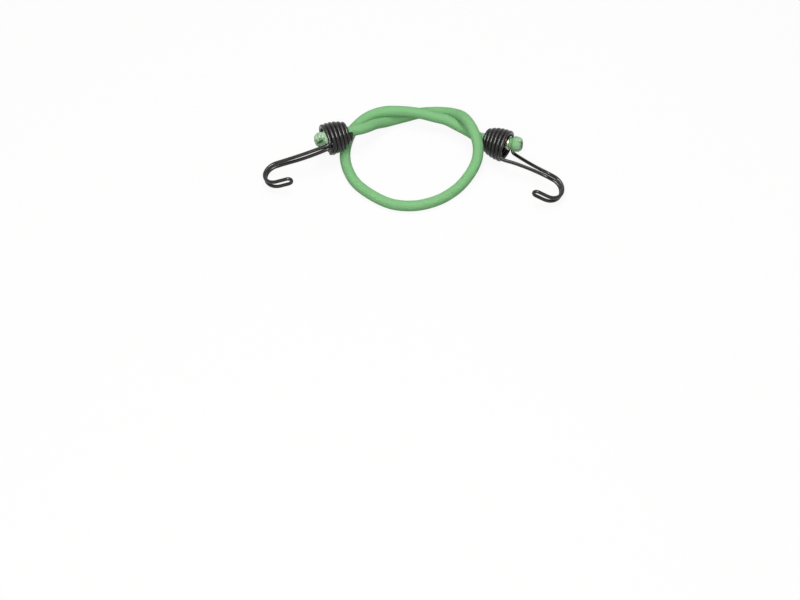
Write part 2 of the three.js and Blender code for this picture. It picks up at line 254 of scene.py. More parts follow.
def smooth_line(points, spacing):
    """A centripetal curve through points, given back as points about `spacing` apart."""
    steps = 24
    ends = [points[0] * 2 - points[1], *points, points[-1] * 2 - points[-2]]
    fine = []
    for a, b, c, d in zip(ends, ends[1:], ends[2:], ends[3:]):
        before, here, after = [max((q - p).length ** 0.5, TINY) for p, q in ((a, b), (b, c), (c, d))]
        leave = ((b - a) / before - (c - a) / (before + here) + (c - b) / here) * here
        arrive = ((c - b) / here - (d - b) / (here + after) + (d - c) / after) * here
        for step in range(steps):
            t = step / steps
            fine.append(b + leave * t + ((c - b) * 3 - leave * 2 - arrive) * t * t
                        + ((b - c) * 2 + leave + arrive) * t * t * t)
    fine.append(points[-1])
    lengths = [0.0]
    for p, q in zip(fine, fine[1:]):
        lengths.append(lengths[-1] + (q - p).length)
    count = max(round(lengths[-1] / spacing), 1)
    line, k = [], 0
    for step in range(count + 1):
        wanted = lengths[-1] * step / count
        while k < len(fine) - 2 and lengths[k + 1] < wanted:
            k += 1
        share = (wanted - lengths[k]) / max(lengths[k + 1] - lengths[k], TINY)
        line.append(fine[k].lerp(fine[k + 1], min(share, 1.0)))
    return line


def carried_frames(line):
    """Two directions across a line at each of its points, carried along it without twisting."""
    frames, across = [], None
    for k in range(len(line)):
        along = (line[min(k + 1, len(line) - 1)] - line[max(k - 1, 0)]).normalized()
        across = along.orthogonal() if across is None else across - along * across.dot(along)
        across.normalize()
        frames.append((across.copy(), along.cross(across)))
    return frames


class Direction:
    """An axis that runs outwards, and the directions across it by their angle from up to the back."""

    def __init__(self, side, turn, dip):
        turn, dip = math.radians(turn), math.radians(dip)
        level = math.cos(dip)
        self.axis = Vector((side * math.cos(turn) * level, -math.sin(turn) * level, -math.sin(dip)))
        self.up = (UP - self.axis * self.axis.z).normalized()
        self.back = self.up.cross(self.axis) * side

    def towards(self, angle):
        """The direction across the axis at an angle from up towards the back."""
        return self.up * math.cos(math.radians(angle)) + self.back * math.sin(math.radians(angle))


class CoilEnd:
    """One end of the cord: its coil, the line on which the cord runs through it, and its J."""

    # How far the cord's line reaches inwards of the throat, and how far it is kept straight on either
    # side of the rim.
    inside, straight_in, straight_out = 5 * MM, 3 * MM, 2 * MM

    def __init__(self, place, hook):
        self.coil = Direction(place["side"], place["turn"], place["dip"])
        self.shank = Direction(place["side"], place["swing"], place["fall"])
        self.rim = Vector(place["rim"]) * MM
        self.roll = place["roll"]
        self.stand = place["stand"] * MM
        self.stub = place["stub"] * MM
        self.spread = place["spread"] * MM
        self.pale = place["pale"]
        self.slit = Vector(place["slit"])
        self.legs = place["legs"]
        self.bows = [bow * MM for bow in place["bows"]]
        self.lay = place["lay"]
        self.pinch = place["pinch"]
        self.coil_length = hook.turns * hook.pitch
        self.throat = self.rim - self.coil.axis * self.coil_length
        self.exit = self.around(0, hook.shift, place["seat"])
        self.cord_axis = (self.exit - self.throat).normalized()
        self.cut_end = self.cord_at(self.stub) + Vector(place["lean"]) * MM
        opening, across = Vector(place["offset"]) * MM
        self.crook = (self.rim + self.shank.axis * hook.reach + self.shank.towards(self.roll) * opening
                      + self.shank.towards(self.roll + 90) * across)

    def around(self, distance, radius, angle):
        """A point by its distance out from the rim, its radius and its angle."""
        return self.rim + self.coil.axis * distance + self.coil.towards(angle) * radius

    def cord_at(self, distance):
        """A point on the cord's line by its distance out from the rim."""
        return self.exit + self.cord_axis * distance

    def cord_points(self):
        """The run from inside the throat to the cut end, straight past the clip."""
        return [self.throat - self.cord_axis * self.inside, self.throat, self.throat.lerp(self.exit, 0.5),
                self.cord_at(-self.straight_in), self.exit, self.cord_at(self.straight_out), self.cut_end]


class CordLine:
    """The cord's centreline from cut end to cut end, with its place along and two directions across."""

    def __init__(self, settings, spacing):
        self.ends = {side: CoilEnd(place, settings.hook) for side, place in END_PLACES.items()}
        low = settings.sheath.lift
        route = [Vector((x, y, lift + low)) for x, y, lift in ROUTE]
        points = self.ends["left"].cord_points()[::-1] + route + self.ends["right"].cord_points()
        self.points = smooth_line(points, spacing)
        for point in self.points:
            point.z = max(point.z, low)
        self.frames = carried_frames(self.points)
        self.along = [0.0]
        for p, q in zip(self.points, self.points[1:]):
            self.along.append(self.along[-1] + (q - p).length)

    def span(self, piece):
        """First and last point of the left end, the right end or the loop between them."""
        cuts = {}
        half = len(self.points) // 2
        for side, first in (("left", 0), ("right", half)):
            cut = Vector(END_CUTS[side])
            cuts[side] = min(range(first, first + half), key=lambda k: (self.points[k] - cut).length)
        spans = {
            "left": (0, cuts["left"]),
            "loop": (cuts["left"], cuts["right"]),
            "right": (cuts["right"], len(self.points) - 1),
        }
        return spans[piece]

    def from_end(self, k):
        """Distance to the nearer cut end, and that end."""
        ahead = self.along[-1] - self.along[k]
        if self.along[k] < ahead:
            return self.along[k], self.ends["left"]
        return ahead, self.ends["right"]


def clear_selection():
    """Leaves edit mode with nothing selected, so that an operator acts on the new piece alone."""
    if bpy.context.object and bpy.context.object.mode != "OBJECT":
        bpy.ops.object.mode_set(mode="OBJECT")
    bpy.ops.object.select_all(action="DESELECT")


def bent_wire(name, lines, diameter, roundness, swell=None):
    """Round bars along lines of points, drawn as curves and turned into one mesh; swell gives the
    first line's thickness at each point as a share of the diameter."""
    clear_selection()
    bpy.ops.curve.primitive_nurbs_path_add()
    piece = bpy.context.object
    piece.name = piece.data.name = name
    curve = piece.data
    curve.splines.clear()
    for line in lines:
        spline = curve.splines.new("POLY")
        spline.points.add(len(line) - 1)
        spline.points.foreach_set("co", [v for point in line for v in (*point, 1.0)])
        spline.points.foreach_set("radius", swell or [1.0] * len(line))
    curve.dimensions = "3D"
    curve.twist_mode = "MINIMUM"
    curve.bevel_depth = diameter / 2
    curve.bevel_resolution = roundness
    curve.use_fill_caps = True
    bpy.ops.object.convert(target="MESH")
    piece = bpy.context.object
    bpy.ops.object.shade_smooth_by_angle(angle=math.radians(50))
    return piece


def round_cut_ends(width):
    """Breaks the sharp edge round each cut end of the active wire."""
    bpy.ops.object.mode_set(mode="EDIT")
    bpy.ops.mesh.select_mode(type="FACE")
    bpy.ops.mesh.select_all(action="DESELECT")
    bpy.ops.mesh.select_face_by_sides(number=4, type="GREATER")
    bpy.ops.mesh.region_to_loop()
    bpy.ops.mesh.bevel(offset=width, segments=3, affect="EDGES")
    bpy.ops.object.mode_set(mode="OBJECT")


def dress(piece, material, slot, *nodes):
    """Gives a piece its material and the nodes that it stands for; its slot argument is not used."""
    piece.data.materials.clear()
    piece.data.materials.append(material)
    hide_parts(*nodes)


def attach(piece, part):
    """The loop rides on the cord; an end stretch keeps its place, with its transform baked into its mesh."""
    if part == "loop":
        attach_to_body(piece, "cord")
    else:
        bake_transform(piece)


def braided_polyester(settings):
    """Textured polyester yarns, braided over and under: matt, with a soft sheen where the filaments
    lie across the light, and painted shade in the gaps. Yarns are 1.1 mm wide on an 8 mm cord."""
    material, tree, shader = new_material(
        "braided_polyester", Roughness=0.7, Specular_IOR_Level=0.12, Sheen_Weight=0.06, Sheen_Roughness=0.5)
    around = settings.diameter * math.pi
    uv = add_node(tree, "ShaderNodeUVMap", uv_map="braid")
    parts = add_node(tree, "ShaderNodeSeparateXYZ", {0: uv.outputs[0]})
    turned = add_node(tree, "ShaderNodeMath", {0: parts.outputs[1], 1: 1 / around}, operation="MULTIPLY")
    ways = {}
    for way, operation in (("right", "ADD"), ("left", "SUBTRACT")):
        share = add_node(
            tree, "ShaderNodeMath", {0: parts.outputs[0], 1: turned.outputs[0]}, operation=operation)
        count = add_node(
            tree, "ShaderNodeMath", {0: share.outputs[0], 1: settings.carriers}, operation="MULTIPLY")
        whole = add_node(tree, "ShaderNodeMath", {0: count.outputs[0]}, operation="FLOOR")
        rest = add_node(tree, "ShaderNodeMath", {0: count.outputs[0]}, operation="FRACT")
        side = add_node(
            tree, "ShaderNodeMath", {0: rest.outputs[0], 1: 2.0, 2: -1.0}, operation="MULTIPLY_ADD")
        off = add_node(tree, "ShaderNodeMath", {0: side.outputs[0]}, operation="ABSOLUTE")
        ways[way] = (count.outputs[0], whole.outputs[0], off.outputs[0])
    crossing = add_node(tree, "ShaderNodeMath", {0: ways["right"][1], 1: ways["left"][1]}, operation="ADD")
    over = add_node(tree, "ShaderNodeMath", {0: crossing.outputs[0], 1: 2.0}, operation="FLOORED_MODULO")
    across = add_node(tree, "ShaderNodeMix", {0: over.outputs[0], 2: ways["right"][2], 3: ways["left"][2]})
    along = add_node(tree, "ShaderNodeMix", {0: over.outputs[0], 2: ways["left"][2], 3: ways["right"][2]})
    lane = add_node(tree, "ShaderNodeMix", {0: over.outputs[0], 2: ways["right"][0], 3: ways["left"][0]})
    dive = add_node(tree, "ShaderNodeMath", {0: along.outputs[0], 1: YARN_LATE}, operation="POWER")
    fall = add_node(
        tree, "ShaderNodeMath", {0: dive.outputs[0], 1: -YARN_DIVE, 2: 1.0}, operation="MULTIPLY_ADD")
    edge = add_node(tree, "ShaderNodeMath", {0: across.outputs[0], 1: YARN_EDGE}, operation="POWER")
    crown = add_node(tree, "ShaderNodeMath", {0: 1.0, 1: edge.outputs[0]}, operation="SUBTRACT")
    yarn = add_node(tree, "ShaderNodeMath", {0: crown.outputs[0], 1: fall.outputs[0]}, operation="MULTIPLY")
    # Four filament bundles show on each yarn. The colour follows the yarn's height, with painted shade low in
    # the gaps and where a yarn dives under.
    filament = add_node(tree, "ShaderNodeMath", {0: lane.outputs[0], 1: 0.125}, operation="PINGPONG")
    thread = add_node(
        tree, "ShaderNodeMath", {0: filament.outputs[0], 1: 1.6, 2: yarn.outputs[0]},
        operation="MULTIPLY_ADD")
    # The yarn's own unevenness: patches of about 4 mm and flecks of about 0.6 mm.
    place = add_node(tree, "ShaderNodeTexCoord").outputs["Object"]
    patch = add_node(tree, "ShaderNodeTexNoise", {"Vector": place, "Scale": 1 / (4 * MM), "Detail": 2.0})
    fleck = add_node(tree, "ShaderNodeTexNoise", {"Vector": place, "Scale": 1 / (0.606 * MM), "Detail": 2.0})
    patches_and_gap_shade = add_node(
        tree, "ShaderNodeMath", {0: patch.outputs["Fac"], 1: 0.30, 2: thread.outputs[0]},
        operation="MULTIPLY_ADD")
    mottled = add_node(
        tree, "ShaderNodeMath", {0: fleck.outputs["Fac"], 1: 0.34, 2: patches_and_gap_shade.outputs[0]},
        operation="MULTIPLY_ADD")
    # The tone mixes the gaps' painted shade with the yarns' colour, by the yarns' height and by random
    # patches and flecks.
    tone = add_node(tree, "ShaderNodeMapRange", {0: mottled.outputs[0], 1: 0.25, 2: 1.25})
    colour = add_node(
        tree, "ShaderNodeMix", {0: tone.outputs[0], 6: (*settings.gap, 1), 7: (*settings.yarn, 1)},
        data_type="RGBA")
    # The cut end: yarns made paler in patches of about 1.6 mm, partly for the heat seal on them and partly
    # as painted light that brightens the cut end; and painted shade where they fold in.
    gathered = add_node(tree, "ShaderNodeAttribute", attribute_name="gathered")
    crease = add_node(tree, "ShaderNodeAttribute", attribute_name="crease")
    seal_and_light_noise = add_node(tree, "ShaderNodeTexNoise", {"Vector": place, "Scale": 1 / (1.613 * MM), "Detail": 3.0})
    seal_and_light_patches = add_node(
        tree, "ShaderNodeMapRange", {0: seal_and_light_noise.outputs["Fac"], 1: 0.42, 2: 0.56, 3: 0.35, 4: 1.0})
    # How far the cut end is painted paler: the gathered attribute, which holds the end's paling, times random
    # patches.
    seal_and_light_share = add_node(
        tree, "ShaderNodeMath", {0: gathered.outputs["Fac"], 1: seal_and_light_patches.outputs[0]}, operation="MULTIPLY")
    seal_and_light_paled = add_node(
        tree, "ShaderNodeMix", {0: seal_and_light_share.outputs[0], 6: colour.outputs[2], 7: (*settings.sealed_and_lit, 1)},
        data_type="RGBA")
    # Painted shade: the folds, the slit's edge and the slit's inside take a darker copy of the gap colour, by
    # the crease attribute.
    deep = [v * 0.68 for v in settings.gap]
    folded = add_node(
        tree, "ShaderNodeMix", {0: crease.outputs["Fac"], 6: seal_and_light_paled.outputs[2], 7: (*deep, 1)},
        data_type="RGBA")
    tree.links.new(folded.outputs[2], shader.inputs["Base Color"])
    bump = add_node(
        tree, "ShaderNodeBump", {"Strength": 0.3, "Distance": 0.1 * MM, "Height": thread.outputs[0]})
    tree.links.new(bump.outputs[0], shader.inputs["Normal"])
    return material


def latex_rubber(settings):
    """Extruded latex: pale and matt, powdered with chalk in patches of about 2 mm."""
    material, tree, shader = new_material("latex_rubber", Roughness=0.58, IOR=1.52)
    place = add_node(tree, "ShaderNodeTexCoord").outputs["Object"]
    chalk = add_node(tree, "ShaderNodeTexNoise", {"Vector": place, "Scale": 1 / (2 * MM), "Detail": 3.0})
    tone = add_node(tree, "ShaderNodeMapRange", {0: chalk.outputs["Fac"], 1: 0.35, 2: 0.7})
    bare = [v * 0.75 for v in settings.rubber]
    colour = add_node(
        tree, "ShaderNodeMix", {0: tone.outputs[0], 6: (*bare, 1), 7: (*settings.rubber, 1)},
        data_type="RGBA")
    tree.links.new(colour.outputs[2], shader.inputs["Base Color"])
    return material


def zinc_plate(settings):
    """Bright zinc on rolled steel strip: a clear metal gloss, uneven and dulled in patches of about
    1.5 mm."""
    material, tree, shader = new_material("zinc_plate", Metallic=1.0, Base_Color=(*settings.zinc, 1))
    place = add_node(tree, "ShaderNodeTexCoord").outputs["Object"]
    dull = add_node(tree, "ShaderNodeTexNoise", {"Vector": place, "Scale": 1 / (1.538 * MM), "Detail": 3.0})
    rough = add_node(
        tree, "ShaderNodeMapRange", {0: dull.outputs["Fac"], 1: 0.3, 2: 0.75, 3: 0.16, 4: 0.36})
    tree.links.new(rough.outputs[0], shader.inputs["Roughness"])
    bump = add_node(
        tree, "ShaderNodeBump", {"Strength": 0.15, "Distance": 0.02 * MM, "Height": dull.outputs["Fac"]})
    tree.links.new(bump.outputs[0], shader.inputs["Normal"])
    return material


def dipped_vinyl(settings):
    """Steel wire dipped in black vinyl: a half gloss skin with a slight orange peel of about 0.8 mm,
    greyer and duller in patches of about 6 mm where it has been handled."""
    material, tree, shader = new_material("dipped_vinyl", IOR=1.52, Specular_IOR_Level=0.36)
    place = add_node(tree, "ShaderNodeTexCoord").outputs["Object"]
    peel = add_node(tree, "ShaderNodeTexNoise", {"Vector": place, "Scale": 1 / (0.833 * MM), "Detail": 2.0})
    dust = add_node(tree, "ShaderNodeTexNoise", {"Vector": place, "Scale": 1 / (6.25 * MM), "Detail": 4.0})
    handled = add_node(tree, "ShaderNodeMapRange", {0: dust.outputs["Fac"], 1: 0.4, 2: 0.75})
    dusty = [v * 1.6 for v in settings.coating]
    colour = add_node(
        tree, "ShaderNodeMix", {0: handled.outputs[0], 6: (*settings.coating, 1), 7: (*dusty, 1)},
        data_type="RGBA")
    tree.links.new(colour.outputs[2], shader.inputs["Base Color"])
    rough = add_node(
        tree, "ShaderNodeMapRange", {0: dust.outputs["Fac"], 1: 0.35, 2: 0.75, 3: 0.18, 4: 0.27})
    tree.links.new(rough.outputs[0], shader.inputs["Roughness"])
    bump = add_node(
        tree, "ShaderNodeBump", {"Strength": 0.1, "Distance": 0.01 * MM, "Height": peel.outputs["Fac"]})
    tree.links.new(bump.outputs[0], shader.inputs["Normal"])
    return material


class BUNGEE_OT_sheath(Operator):
    """Makes the braided sheath: the loop and the two end stretches with their cut ends"""
    bl_idname = "bungee.sheath"
    bl_label = "Braided sheath"

    # The mesh: points round the cord, distance of its rings, the angle of a sharp edge, and the mean
    # of the yarns' height.
    sides, spacing, sharp, mean_height = 80, 0.32 * MM, math.radians(65), 0.64
    # The cut end: where it starts to spread beyond the rim and over what length, how full it rounds
    # off, the slit's half length and half width as shares of the radius, and how much is gathered.
    spread_start, spread_run, end_fullness = 2 * MM, 2.5 * MM, 2.2
    slit_along, slit_across = 0.48, 0.14
    gathered_share = 0.62
    # Its folds: height, number round the end and turn of each wave, how narrow they are, how far they
    # pull in, the darkness of their painted shade, and the darkness and width of the painted shade along the
    # slit's edge.
    waves = ((0.5, 5, 0.8), (0.5, 9, 2.6), (0.35, 13, 0.0))
    fold_narrow, fold_pull, fold_shade = 1.2, 0.15, 0.85
    edge_shade, edge_width = 0.7, 0.7 * MM
    # The slit's inside, painted all in shade: depth, and half length and half width as shares of the radius.
    tuck = ((0.3 * MM, 0.45, 0.12), (0.9 * MM, 0.4, 0.1), (1.6 * MM, 0.32, 0.07), (2.2 * MM, 0.2, 0.04))

    def radii_at(self, settings, from_end, end):
        """The sheath's radius along and across the slit: the cord's, spread at the cut end, where it
        rounds off into two lips."""
        cord, spread = settings.diameter / 2, end.spread / 2
        share = min(max((end.stub - from_end - self.spread_start) / self.spread_run, 0), 1)
        radius = cord + (spread - cord) * share * share * (3 - 2 * share)
        bulge = max(1 - from_end / settings.stub_rounding, 0)
        round_off = math.sqrt(max(1 - bulge ** self.end_fullness, 0))
        along, across = [slit + (1 - slit) * round_off for slit in (self.slit_along, self.slit_across)]
        return radius * along, radius * across

    def crease(self, angle):
        """How deep the gathered cloth folds in at an angle: narrow creases, no two alike."""
        wave = sum(height * math.cos(number * angle + turn) for height, number, turn in self.waves)
        return min(max(wave, 0) ** self.fold_narrow, 1)

    def yarn_height(self, settings, turn, along):
        """Height of the upper yarn at a place, about its mean: yarns wind both ways, over and under."""
        turns = along / (math.pi * settings.diameter)
        lanes = [(turn + turns) * settings.carriers, (turn - turns) * settings.carriers]
        over = (math.floor(lanes[0]) + math.floor(lanes[1])) % 2
        upper, lower = [abs(2 * (lane % 1) - 1) for lane in (lanes[over], lanes[1 - over])]
        return (1 - upper ** YARN_EDGE) * (1 - YARN_DIVE * lower ** YARN_LATE) - self.mean_height

    def ring(self, settings, line, k, radii, inset, gathered, shade):
        """One ring round the cord as points with their painted shade; a cut end's cloth is gathered in folds.
        """
        across, beside = line.frames[k]
        end = line.from_end(k)[1]
        turned = math.atan2(end.slit.dot(beside), end.slit.dot(across))
        along = across * math.cos(turned) + beside * math.sin(turned)
        aside = beside * math.cos(turned) - across * math.sin(turned)
        first = k < len(line.points) / 2
        inwards = line.points[1] - line.points[0] if first else line.points[-2] - line.points[-1]
        inwards = inwards.normalized()
        raised = settings.relief * (1 - gathered) / radii[0]
        ring = []
        for step in range(self.sides):
            angle = 2 * math.pi * step / self.sides
            fold = self.crease(angle) * gathered
            height = self.yarn_height(settings, step / self.sides, line.along[k])
            out = 1 - self.fold_pull * fold + raised * height
            middle = line.points[k] + inwards * (inset + settings.crease * fold * gathered)
            place = along * math.cos(angle - turned) * radii[0] + aside * math.sin(angle - turned) * radii[1]
            ring.append((middle + place * out, max(fold * self.fold_shade, shade)))
        return ring

    def rings(self, settings, line, first, last):
        """All rings of a piece: points, place along the cord and how far the cloth is gathered."""
        rows = []
        for k in range(first, last + 1):
            from_end, end = line.from_end(k)
            gathered = max(1 - from_end / (end.stub * self.gathered_share), 0)
            # Painted shade along the edge of the slit, near the cut end.
            shade = self.edge_shade * max(1 - from_end / self.edge_width, 0)
            radii = self.radii_at(settings, from_end, end)
            ring = self.ring(settings, line, k, radii, 0, gathered, shade)
            # The third value, the gathered share times the end's paling, sets how far the material paints the
            # cut end paler.
            rows.append((ring, line.along[k], gathered * end.pale))
        for at, sign in ((first, -1), (last, 1)):
            if at in (0, len(line.points) - 1):
                lip = line.from_end(at)[1].spread / 2
                for depth, along, across in self.tuck:
                    ring = self.ring(settings, line, at, (lip * along, lip * across), depth, 1, 1)
                    row = (ring, line.along[at] + sign * depth, 1)
                    if sign < 0:
                        rows.insert(0, row)
                    else:
                        rows.append(row)
        return rows

    def piece(self, settings, line, part):
        """One piece of the sheath as a mesh, with a map of turns round and metres along."""
        rows = self.rings(settings, line, *line.span(part))
        count = self.sides
        faces, corners = [], []
        for r in range(len(rows) - 1):
            for k in range(count):
                quad = ((r, k), (r, k + 1), (r + 1, k + 1), (r + 1, k))
                faces.append([at * count + turn % count for at, turn in quad])
                corners += quad
        for at, order in ((0, range(count - 1, -1, -1)), (len(rows) - 1, range(count))):
            faces.append([at * count + k for k in order])
            corners += [(at, k) for k in order]
        mesh = bpy.data.meshes.new(f"sheath_{part}")
        mesh.from_pydata([point for row, _, _ in rows for point, _ in row], [], faces)
        layer = mesh.uv_layers.new(name="braid")
        layer.data.foreach_set("uv", [value for at, k in corners for value in (k / count, rows[at][1])])
        # The crease attribute carries the painted shade; the gathered attribute, how far the cut end is
        # painted paler.
        values = {"crease": [fold for row, _, _ in rows for _, fold in row],
                  "gathered": [gathered for row, _, gathered in rows for _ in row]}
        for name, numbers in values.items():
            mesh.attributes.new(name=name, type="FLOAT", domain="POINT").data.foreach_set("value", numbers)
        mesh.shade_smooth()
        mesh.set_sharp_from_angle(angle=self.sharp)
        piece = bpy.data.objects.new(f"sheath_{part}", mesh)
        bpy.context.scene.collection.objects.link(piece)
        return piece

    def execute(self, context):
        settings = context.scene.bungee
        line = CordLine(settings, self.spacing)
        yarn = braided_polyester(settings.sheath)
        for part in ("left", "loop", "right"):
            piece = self.piece(settings.sheath, line, part)
            dress(piece, yarn, "sheath", "sheath")
            attach(piece, part)
        return {"FINISHED"}


class BUNGEE_OT_core(Operator):
    """Makes the rubber strands inside the sheath, in the same three stretches"""
    bl_idname = "bungee.core"
    bl_label = "Rubber core"

    # Distance of the points along a strand, and how round it is.
    spacing, roundness = 2 * MM, 2

    def execute(self, context):
        settings = context.scene.bungee
        line = CordLine(settings, self.spacing)
        core = settings.core
        rubber = latex_rubber(core)
        offsets = [(0.0, 0.0)]
        for k in range(6):
            angle = k * math.pi / 3
            offsets.append((core.spacing * math.cos(angle), core.spacing * math.sin(angle)))
        for part in ("left", "loop", "right"):
            first, last = line.span(part)
            inside = [k for k in range(first, last + 1) if line.from_end(k)[0] >= core.recess]
            strands = []
            for x, y in offsets:
                strand = [line.points[k] + line.frames[k][0] * x + line.frames[k][1] * y for k in inside]
                strands.append(strand)
            piece = bent_wire(f"core_{part}", strands, core.strand, self.roundness)
            dress(piece, rubber, "core", *[f"core_strand_{k}" for k in range(1, 8)])
            attach(piece, part)
        return {"FINISHED"}


class BUNGEE_OT_clips(Operator):
    """Makes the two steel clips: a strip rolled round the cord, with a slit where its ends meet"""
    bl_idname = "bungee.clips"
    bl_label = "Steel clips"

    # Faces round the strip, and the radius of its edges.
    facets, rounding = 72, 0.3 * MM

    def strip(self, settings, name):
        """The clip about the origin, its slit towards +X."""
        clear_selection()
        radius = (settings.inner_diameter + settings.thickness) / 2
        bpy.ops.mesh.primitive_cylinder_add(
            vertices=self.facets, radius=radius, depth=settings.width, end_fill_type="NOTHING")
        piece = bpy.context.object
        piece.name = piece.data.name = name
        half = math.asin(settings.slit / 2 / radius)
        bpy.ops.object.mode_set(mode="EDIT")
        bpy.ops.mesh.select_all(action="DESELECT")
        bpy.ops.object.mode_set(mode="OBJECT")
        for face in piece.data.polygons:
            face.select = face.center.x > 0 and abs(math.atan2(face.center.y, face.center.x)) < half
        bpy.ops.object.mode_set(mode="EDIT")
        bpy.ops.mesh.delete(type="FACE")
        bpy.ops.object.mode_set(mode="OBJECT")
        wall = piece.modifiers.new("wall", "SOLIDIFY")
        wall.thickness, wall.offset = settings.thickness, 0
        edge = piece.modifiers.new("edge", "BEVEL")
        edge.width, edge.segments, edge.limit_method = self.rounding, 3, "ANGLE"
        for modifier in ("wall", "edge"):
            bpy.ops.object.modifier_apply(modifier=modifier)
        bpy.ops.object.shade_smooth_by_angle(angle=math.radians(40))
        return piece

    def execute(self, context):
        settings = context.scene.bungee
        plate = zinc_plate(settings.clip)
        for side, place in END_PLACES.items():
            end = CoilEnd(place, settings.hook)
            piece = self.strip(settings.clip, f"clip_{side}")
            turn = UP.rotation_difference(end.cord_axis)
            middle = end.cord_at(end.stand - settings.clip.width / 2)
            piece.matrix_world = Matrix.Translation(middle) @ turn.to_matrix().to_4x4()
            bpy.ops.object.transform_apply()
            dress(piece, plate, "clip", f"{side}_clip")
            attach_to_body(piece, f"{side}_end")
        return {"FINISHED"}


class BUNGEE_OT_hooks(Operator):
    """Makes the two hooks: each one wire, from the coil's throat through the J to the rim"""
    bl_idname = "bungee.hooks"
    bl_label = "Wire hooks"

    # The bend from the rim into a leg, and how far it bulges off the rim.
    knuckle, bulge = 2.6 * MM, 1.2 * MM
    # The J: its shank's length, its width, its bend's radius, its tip's length and flare in degrees,
    # and how far it narrows in the bend.
    shank_length, hairpin, bend, tip, flare = 6 * MM, 5.6 * MM, 10.5 * MM, 7.5 * MM, 4
    narrowing = 0.2
    # The wire's end that lies round the rim, in degrees, and how soon the coil widens to the rim.
    ring_arc, fullness = 28, 2.6
    # Where a leg's bow is drawn, as shares of the leg.
    bow_shares = (0.3, 0.65)
    # The wire: distance of its points, how round it is, the run over which the coating's swell fades,
    # and the bevel of its cut ends.
    spacing, roundness, fade, cut_edge = 0.7 * MM, 5, 8 * MM, 0.5 * MM
    # Points in a turn of the coil, in the J's bend, in its tip, in a knuckle and in the ring's arc.
    turn_steps, bend_steps, loop_steps, knuckle_steps, arc_steps = 24, 16, 8, 4, 2

    def run(self, settings, end, angle, half, start, bow):
        """One leg's wire from the rim to the J's tip, with the tip's heading and its place aside."""
        axis = end.shank.axis
        aside = end.shank.towards(end.roll + half * 90) * self.hairpin / 2
        opening = end.shank.towards(end.roll)
        first = end.around(start, settings.rim / 2 + self.bulge, angle)
        joined = end.crook + aside * end.pinch - opening * self.bend - axis * self.shank_length
        points = [first]
        for share in self.bow_shares:
            points.append(first.lerp(joined, share) - opening * bow * math.sin(math.pi * share))
        points.append(joined)
        last = math.pi - math.radians(self.flare)
        for step in range(self.bend_steps + 1):
            share = step / self.bend_steps
            turned = last * share
            apart = end.pinch + (1 - end.pinch) * share - self.narrowing * math.sin(math.pi * share)
            points.append(end.crook + aside * apart + axis * self.bend * math.sin(turned)
                          - opening * self.bend * math.cos(turned))
        heading = axis * math.cos(last) + opening * math.sin(last)
        points += [points[-1] + heading * self.tip / 2, points[-1] + heading * self.tip]
        return points, heading, aside

    def winding(self, settings, end):
        """The coil's line, from the throat that grips the cord to the wide rim."""
        rim, throat = settings.rim / 2, settings.throat / 2
        start = end.legs[0] + math.degrees(self.knuckle / rim)
        steps = settings.turns * self.turn_steps
        points = []
        for step in range(steps + 1):
            share = step / steps
            radius = throat + (rim - throat) * (1 - (1 - share) ** self.fullness)
            turned = 360 * settings.turns * (1 - share)
            points.append(end.around(-end.coil_length * (1 - share), radius, start + turned))
        return points

    def hairpin_and_ring(self, settings, end):
        """The line from the rim along the front leg, round the J, back, and round part of the rim."""
        rim = settings.rim / 2
        front, back = end.legs
        knuckle = math.degrees(self.knuckle / rim)
        points = []
        quarter = [math.pi / 2 * step / self.knuckle_steps for step in range(1, self.knuckle_steps)]
        for turned in quarter:
            out = 1 - math.cos(turned)
            points.append(end.around(
                self.knuckle * out, rim + self.bulge * out, front + knuckle * (1 - math.sin(turned))))
        run, heading, aside = self.run(settings, end, front, end.lay, self.knuckle, end.bows[0])
        points += run
        tip = run[-1] - aside
        for step in range(1, self.loop_steps):
            turned = math.pi * step / self.loop_steps
            points.append(tip + aside * math.cos(turned) + heading * self.hairpin / 2 * math.sin(turned))
        start = settings.pitch * (front - back + 2 * knuckle) / 360
        points += self.run(settings, end, back, -end.lay, start + self.knuckle, end.bows[1])[0][::-1]
        for turned in quarter:
            out = 1 - math.sin(turned)
            points.append(end.around(
                start + self.knuckle * out, rim + self.bulge * out, back - knuckle * (1 - math.cos(turned))))
        for step in range(self.arc_steps + 1):
            swept = self.ring_arc * step / self.arc_steps
            points.append(end.around(start + settings.pitch * swept / 360, rim, back - knuckle - swept))
        return points

    def execute(self, context):
        settings = context.scene.bungee
        hook = settings.hook
        vinyl = dipped_vinyl(hook)
        for side, place in END_PLACES.items():
            end = CoilEnd(place, hook)
            winding = self.winding(hook, end)
            wound = sum((q - p).length for p, q in zip(winding, winding[1:]))
            line = smooth_line(winding + self.hairpin_and_ring(hook, end), self.spacing)
            swell = []
            for k in range(len(line)):
                share = min(max((wound - k * self.spacing) / self.fade, 0), 1)
                swell.append(1 + (hook.wound / hook.wire - 1) * share)
            piece = bent_wire(f"hook_{side}", [line], hook.wire, self.roundness, swell)
            round_cut_ends(self.cut_edge)
            dress(piece, vinyl, "hook_wire", f"{side}_hook")
            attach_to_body(piece, f"{side}_hook")
        return {"FINISHED"}


